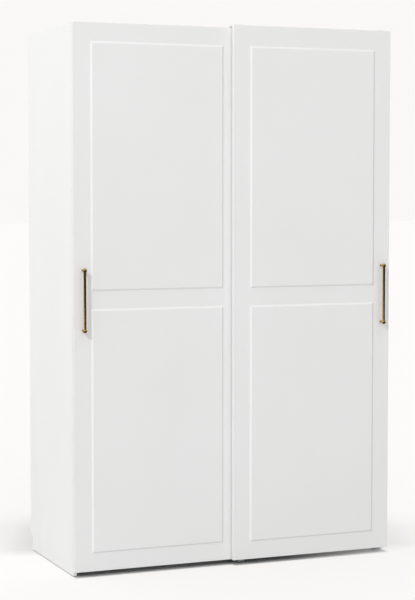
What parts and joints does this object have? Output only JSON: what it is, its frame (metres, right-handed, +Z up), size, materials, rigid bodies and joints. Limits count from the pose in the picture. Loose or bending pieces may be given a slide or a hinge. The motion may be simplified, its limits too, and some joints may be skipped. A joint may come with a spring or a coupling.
{
  "type": "sliding door wardrobe",
  "caption": "Tall white wardrobe with two overlapping panelled doors that hang on rollers and slide past each other, with vertical bar handles, hat shelves and clothes rails",
  "frame": {"origin": "on the floor, under the middle of the bounding box", "axes": "+Z up, the doors face -Y, the wall is at +Y, +X is to the right as seen from the front"},
  "size_m": [1.495, 0.7135, 2.374],
  "materials": {
    "white_board": "satin melamine-faced board",
    "door_white": "satin foil-wrapped board with raised fields",
    "white_hardboard": "lacquered hardboard",
    "antique_brass": "antique, brushed and darkened",
    "aluminium_track": "mill, lightly brushed",
    "white_steel": "white powder coat",
    "zinc_steel": "zinc plated",
    "satin_chrome": "satin",
    "grey_plastic": "moulded",
    "white_plastic": "moulded"
  },
  "bodies": {
    "carcass": {"side_panel_left": "white_board", "side_panel_right": "white_board", "top_panel": "white_board", "bottom_panel": "white_board", "centre_partition": "white_board", "back_panel_left": "white_hardboard", "back_panel_right": "white_hardboard", "back_panel_joint": "white_plastic", "plinth_front": "white_board", "plinth_rear": "white_board", "glide_front_left": "grey_plastic", "glide_front_right": "grey_plastic", "glide_rear_left": "grey_plastic", "glide_rear_right": "grey_plastic", "top_track": "aluminium_track", "bottom_track": "aluminium_track", "stop_inner_left": "grey_plastic", "stop_inner_right": "grey_plastic", "stop_outer_left": "grey_plastic", "stop_outer_right": "grey_plastic", "hat_shelf_left": "white_board", "clothes_rail_left": "satin_chrome", "rail_socket_left_1": "zinc_steel", "rail_socket_left_2": "zinc_steel", "shelf_pin_left_1": "zinc_steel", "shelf_pin_left_2": "zinc_steel", "shelf_pin_left_3": "zinc_steel", "shelf_pin_left_4": "zinc_steel", "hat_shelf_right": "white_board", "clothes_rail_right": "satin_chrome", "rail_socket_right_1": "zinc_steel", "rail_socket_right_2": "zinc_steel", "shelf_pin_right_1": "zinc_steel", "shelf_pin_right_2": "zinc_steel", "shelf_pin_right_3": "zinc_steel", "shelf_pin_right_4": "zinc_steel"},
    "inner_door": {"inner_door_slab": "door_white", "inner_handle_bar": "antique_brass", "inner_handle_post_upper": "antique_brass", "inner_handle_post_lower": "antique_brass", "inner_hanger_left": "zinc_steel", "inner_hanger_right": "zinc_steel", "inner_guide_arm_left": "zinc_steel", "inner_guide_arm_right": "zinc_steel"},
    "inner_roller_left": {"inner_roller_left": "grey_plastic"},
    "inner_guide_pin_left": {"inner_guide_pin_left": "white_plastic"},
    "inner_roller_right": {"inner_roller_right": "grey_plastic"},
    "inner_guide_pin_right": {"inner_guide_pin_right": "white_plastic"},
    "outer_door": {"outer_door_slab": "door_white", "outer_handle_bar": "antique_brass", "outer_handle_post_upper": "antique_brass", "outer_handle_post_lower": "antique_brass", "outer_hanger_left": "white_steel", "outer_hanger_right": "white_steel", "outer_guide_arm_left": "zinc_steel", "outer_guide_arm_right": "zinc_steel"},
    "outer_roller_left": {"outer_roller_left": "grey_plastic"},
    "outer_guide_pin_left": {"outer_guide_pin_left": "white_plastic"},
    "outer_roller_right": {"outer_roller_right": "grey_plastic"},
    "outer_guide_pin_right": {"outer_guide_pin_right": "white_plastic"}
  },
  "joints": [
    {"name": "inner_door_slide", "type": "slide", "parent": "carcass", "child": "inner_door", "axis": [1, 0, 0], "range_m": [0, 0.66]},
    {"name": "inner_roller_left_spin", "type": "hinge", "parent": "inner_door", "child": "inner_roller_left", "pos_m": [-0.6995, -0.25825, 2.3383], "axis": [0, 1, 0], "range_deg": [-20, 3180]},
    {"name": "inner_guide_pin_left_slide", "type": "slide", "parent": "inner_door", "child": "inner_guide_pin_left", "axis": [0, 0, 1], "range_m": [-0.007, 0], "stiffness_N_per_m": 200, "springref_m": 0.006},
    {"name": "inner_roller_right_spin", "type": "hinge", "parent": "inner_door", "child": "inner_roller_right", "pos_m": [-0.0085, -0.25825, 2.3383], "axis": [0, 1, 0], "range_deg": [-20, 3180]},
    {"name": "inner_guide_pin_right_slide", "type": "slide", "parent": "inner_door", "child": "inner_guide_pin_right", "axis": [0, 0, 1], "range_m": [-0.007, 0], "stiffness_N_per_m": 200, "springref_m": 0.006},
    {"name": "outer_door_slide", "type": "slide", "parent": "carcass", "child": "outer_door", "axis": [1, 0, 0], "range_m": [-0.66, 0]},
    {"name": "outer_roller_left_spin", "type": "hinge", "parent": "outer_door", "child": "outer_roller_left", "pos_m": [0.0085, -0.22925, 2.3383], "axis": [0, 1, 0], "range_deg": [-3180, 20]},
    {"name": "outer_guide_pin_left_slide", "type": "slide", "parent": "outer_door", "child": "outer_guide_pin_left", "axis": [0, 0, 1], "range_m": [-0.007, 0], "stiffness_N_per_m": 200, "springref_m": 0.006},
    {"name": "outer_roller_right_spin", "type": "hinge", "parent": "outer_door", "child": "outer_roller_right", "pos_m": [0.6995, -0.22925, 2.3383], "axis": [0, 1, 0], "range_deg": [-3180, 20]},
    {"name": "outer_guide_pin_right_slide", "type": "slide", "parent": "outer_door", "child": "outer_guide_pin_right", "axis": [0, 0, 1], "range_m": [-0.007, 0], "stiffness_N_per_m": 200, "springref_m": 0.006}
  ],
  "couplings": [
    {"joint": "inner_roller_left_spin", "follows": "inner_door_slide", "rad_per_m": 83.333},
    {"joint": "inner_roller_right_spin", "follows": "inner_door_slide", "rad_per_m": 83.333},
    {"joint": "outer_roller_left_spin", "follows": "outer_door_slide", "rad_per_m": 83.333},
    {"joint": "outer_roller_right_spin", "follows": "outer_door_slide", "rad_per_m": 83.333}
  ]
}
